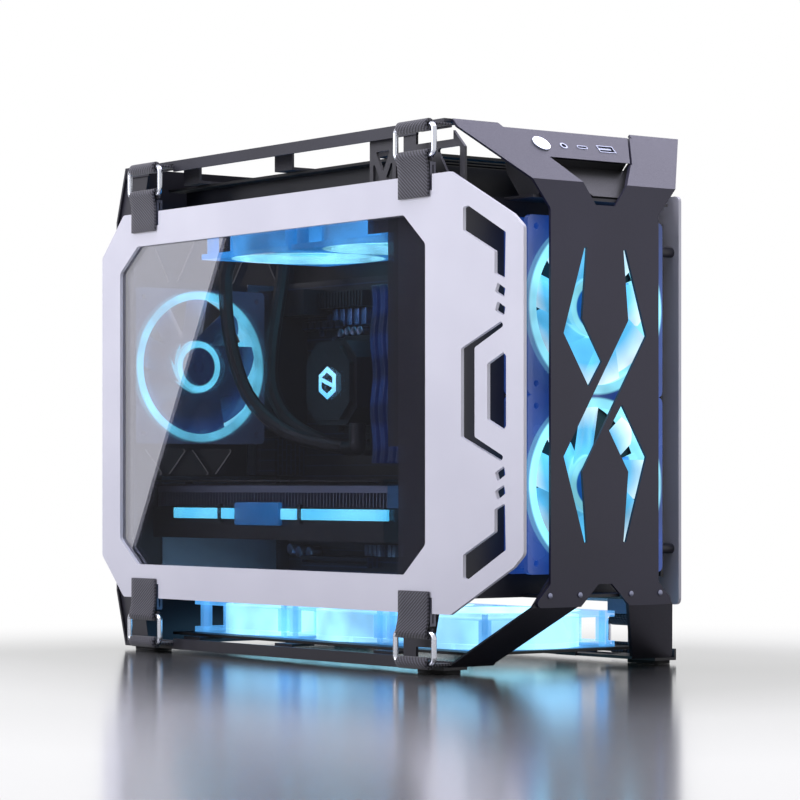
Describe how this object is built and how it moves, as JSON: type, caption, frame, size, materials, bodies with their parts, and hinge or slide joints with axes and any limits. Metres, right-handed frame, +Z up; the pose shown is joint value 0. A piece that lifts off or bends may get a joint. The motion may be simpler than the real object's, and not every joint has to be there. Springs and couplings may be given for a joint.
{
  "type": "computer case",
  "caption": "Open-frame computer case with a folded front plate, strapped side covers, a glass window and lit fans around a water-cooled board.",
  "frame": {"origin": "middle of the footprint on the surface that the case stands on", "axes": "+Z up, -Y out of the front plate, -X out of the glass window"},
  "size_m": [0.245, 0.515, 0.3705],
  "materials": {
    "frame_steel": "satin dark grey powder coat",
    "black_steel": "satin near-black powder coat",
    "cover_silver": "satin silver paint",
    "window_glass": "clear toughened glass",
    "chrome_wire": "polished",
    "hook_steel": "brushed",
    "webbing": "woven dark grey webbing",
    "black_plastic": "fine grain",
    "white_plastic": "polished",
    "circuit_board": "dark blue lacquer",
    "bare_aluminium": "bare fins",
    "lit_plastic": "pale cyan light bar",
    "pad_rubber": "matte",
    "tube_rubber": "matte",
    "fan_plastic": "frosted",
    "rotor_plastic": "frosted"
  },
  "bodies": {
    "case": {"front_panel": "frame_steel", "front_base": "black_steel", "upper_rail_left": "frame_steel", "upper_rail_right": "frame_steel", "lower_rail_left": "black_steel", "lower_rail_right": "black_steel", "roof_plate": "black_steel", "floor_plate": "black_steel", "rear_panel": "frame_steel", "motherboard_tray": "black_steel", "front_fan_bracket": "black_steel", "frame_trusses": "black_steel", "left_cover": "cover_silver", "window_glass": "window_glass", "right_cover": "cover_silver", "cover_standoffs": "black_steel", "panel_straps": "webbing", "rail_straps": "webbing", "strap_rings": "chrome_wire", "strap_hooks": "hook_steel", "port_housing": "black_plastic", "audio_jack": "hook_steel", "usb_ports": "hook_steel", "rubber_feet": "pad_rubber", "radiator": "black_steel", "coolant_tubes": "tube_rubber", "pump_block": "black_plastic", "motherboard": "circuit_board", "board_heatsinks": "black_steel", "memory_modules": "black_plastic", "graphics_board": "circuit_board", "graphics_heatsink": "bare_aluminium", "graphics_shroud": "black_plastic", "graphics_backplate": "black_steel", "graphics_bracket": "hook_steel", "graphics_lights": "lit_plastic", "power_supply": "black_steel", "supply_shroud": "black_steel", "rear_cover_plates": "hook_steel", "power_inlet": "black_plastic", "rear_fan_frame": "fan_plastic", "upper_front_fan_frame": "fan_plastic", "lower_front_fan_frame": "fan_plastic", "roof_rear_fan_frame": "fan_plastic", "roof_front_fan_frame": "fan_plastic", "floor_rear_fan_frame": "fan_plastic", "floor_middle_fan_frame": "fan_plastic", "floor_front_fan_frame": "fan_plastic"},
    "rear_fan_rotor_body": {"rear_fan_rotor": "rotor_plastic"},
    "upper_front_fan_rotor_body": {"upper_front_fan_rotor": "rotor_plastic"},
    "lower_front_fan_rotor_body": {"lower_front_fan_rotor": "rotor_plastic"},
    "roof_rear_fan_rotor_body": {"roof_rear_fan_rotor": "rotor_plastic"},
    "roof_front_fan_rotor_body": {"roof_front_fan_rotor": "rotor_plastic"},
    "floor_rear_fan_rotor_body": {"floor_rear_fan_rotor": "rotor_plastic"},
    "floor_middle_fan_rotor_body": {"floor_middle_fan_rotor": "rotor_plastic"},
    "floor_front_fan_rotor_body": {"floor_front_fan_rotor": "rotor_plastic"},
    "graphics_rear_fan_body": {"graphics_rear_fan": "rotor_plastic"},
    "graphics_middle_fan_body": {"graphics_middle_fan": "rotor_plastic"},
    "graphics_front_fan_body": {"graphics_front_fan": "rotor_plastic"},
    "power_button_body": {"power_button": "white_plastic"}
  },
  "joints": [
    {"name": "rear_fan_rotor_spin", "type": "hinge", "parent": "case", "child": "rear_fan_rotor_body", "pos_m": [-0.0419, 0.243, 0.2185], "axis": [0, 1, 0], "continuous": true},
    {"name": "upper_front_fan_rotor_spin", "type": "hinge", "parent": "case", "child": "upper_front_fan_rotor_body", "pos_m": [0, -0.1785, 0.2465], "axis": [0, 1, 0], "continuous": true},
    {"name": "lower_front_fan_rotor_spin", "type": "hinge", "parent": "case", "child": "lower_front_fan_rotor_body", "pos_m": [0, -0.1785, 0.1265], "axis": [0, 1, 0], "continuous": true},
    {"name": "roof_rear_fan_rotor_spin", "type": "hinge", "parent": "case", "child": "roof_rear_fan_rotor_body", "pos_m": [0, 0.1445, 0.312], "axis": [0, 0, 1], "continuous": true},
    {"name": "roof_front_fan_rotor_spin", "type": "hinge", "parent": "case", "child": "roof_front_fan_rotor_body", "pos_m": [0, 0.0245, 0.312], "axis": [0, 0, 1], "continuous": true},
    {"name": "floor_rear_fan_rotor_spin", "type": "hinge", "parent": "case", "child": "floor_rear_fan_rotor_body", "pos_m": [0, 0.1565, 0.0255], "axis": [0, 0, 1], "continuous": true},
    {"name": "floor_middle_fan_rotor_spin", "type": "hinge", "parent": "case", "child": "floor_middle_fan_rotor_body", "pos_m": [0, 0.0365, 0.0255], "axis": [0, 0, 1], "continuous": true},
    {"name": "floor_front_fan_rotor_spin", "type": "hinge", "parent": "case", "child": "floor_front_fan_rotor_body", "pos_m": [0, -0.0835, 0.0255], "axis": [0, 0, 1], "continuous": true},
    {"name": "graphics_rear_fan_spin", "type": "hinge", "parent": "case", "child": "graphics_rear_fan_body", "pos_m": [-0.02, 0.1795, 0.095], "axis": [0, 0, 1], "continuous": true},
    {"name": "graphics_middle_fan_spin", "type": "hinge", "parent": "case", "child": "graphics_middle_fan_body", "pos_m": [-0.02, 0.0845, 0.095], "axis": [0, 0, 1], "continuous": true},
    {"name": "graphics_front_fan_spin", "type": "hinge", "parent": "case", "child": "graphics_front_fan_body", "pos_m": [-0.02, -0.0105, 0.095], "axis": [0, 0, 1], "continuous": true},
    {"name": "power_button_press", "type": "slide", "parent": "case", "child": "power_button_body", "axis": [0, 0.6985, -0.7156], "range_m": [0, 0.0012], "stiffness_N_per_m": 500, "springref_m": -0.001}
  ]
}
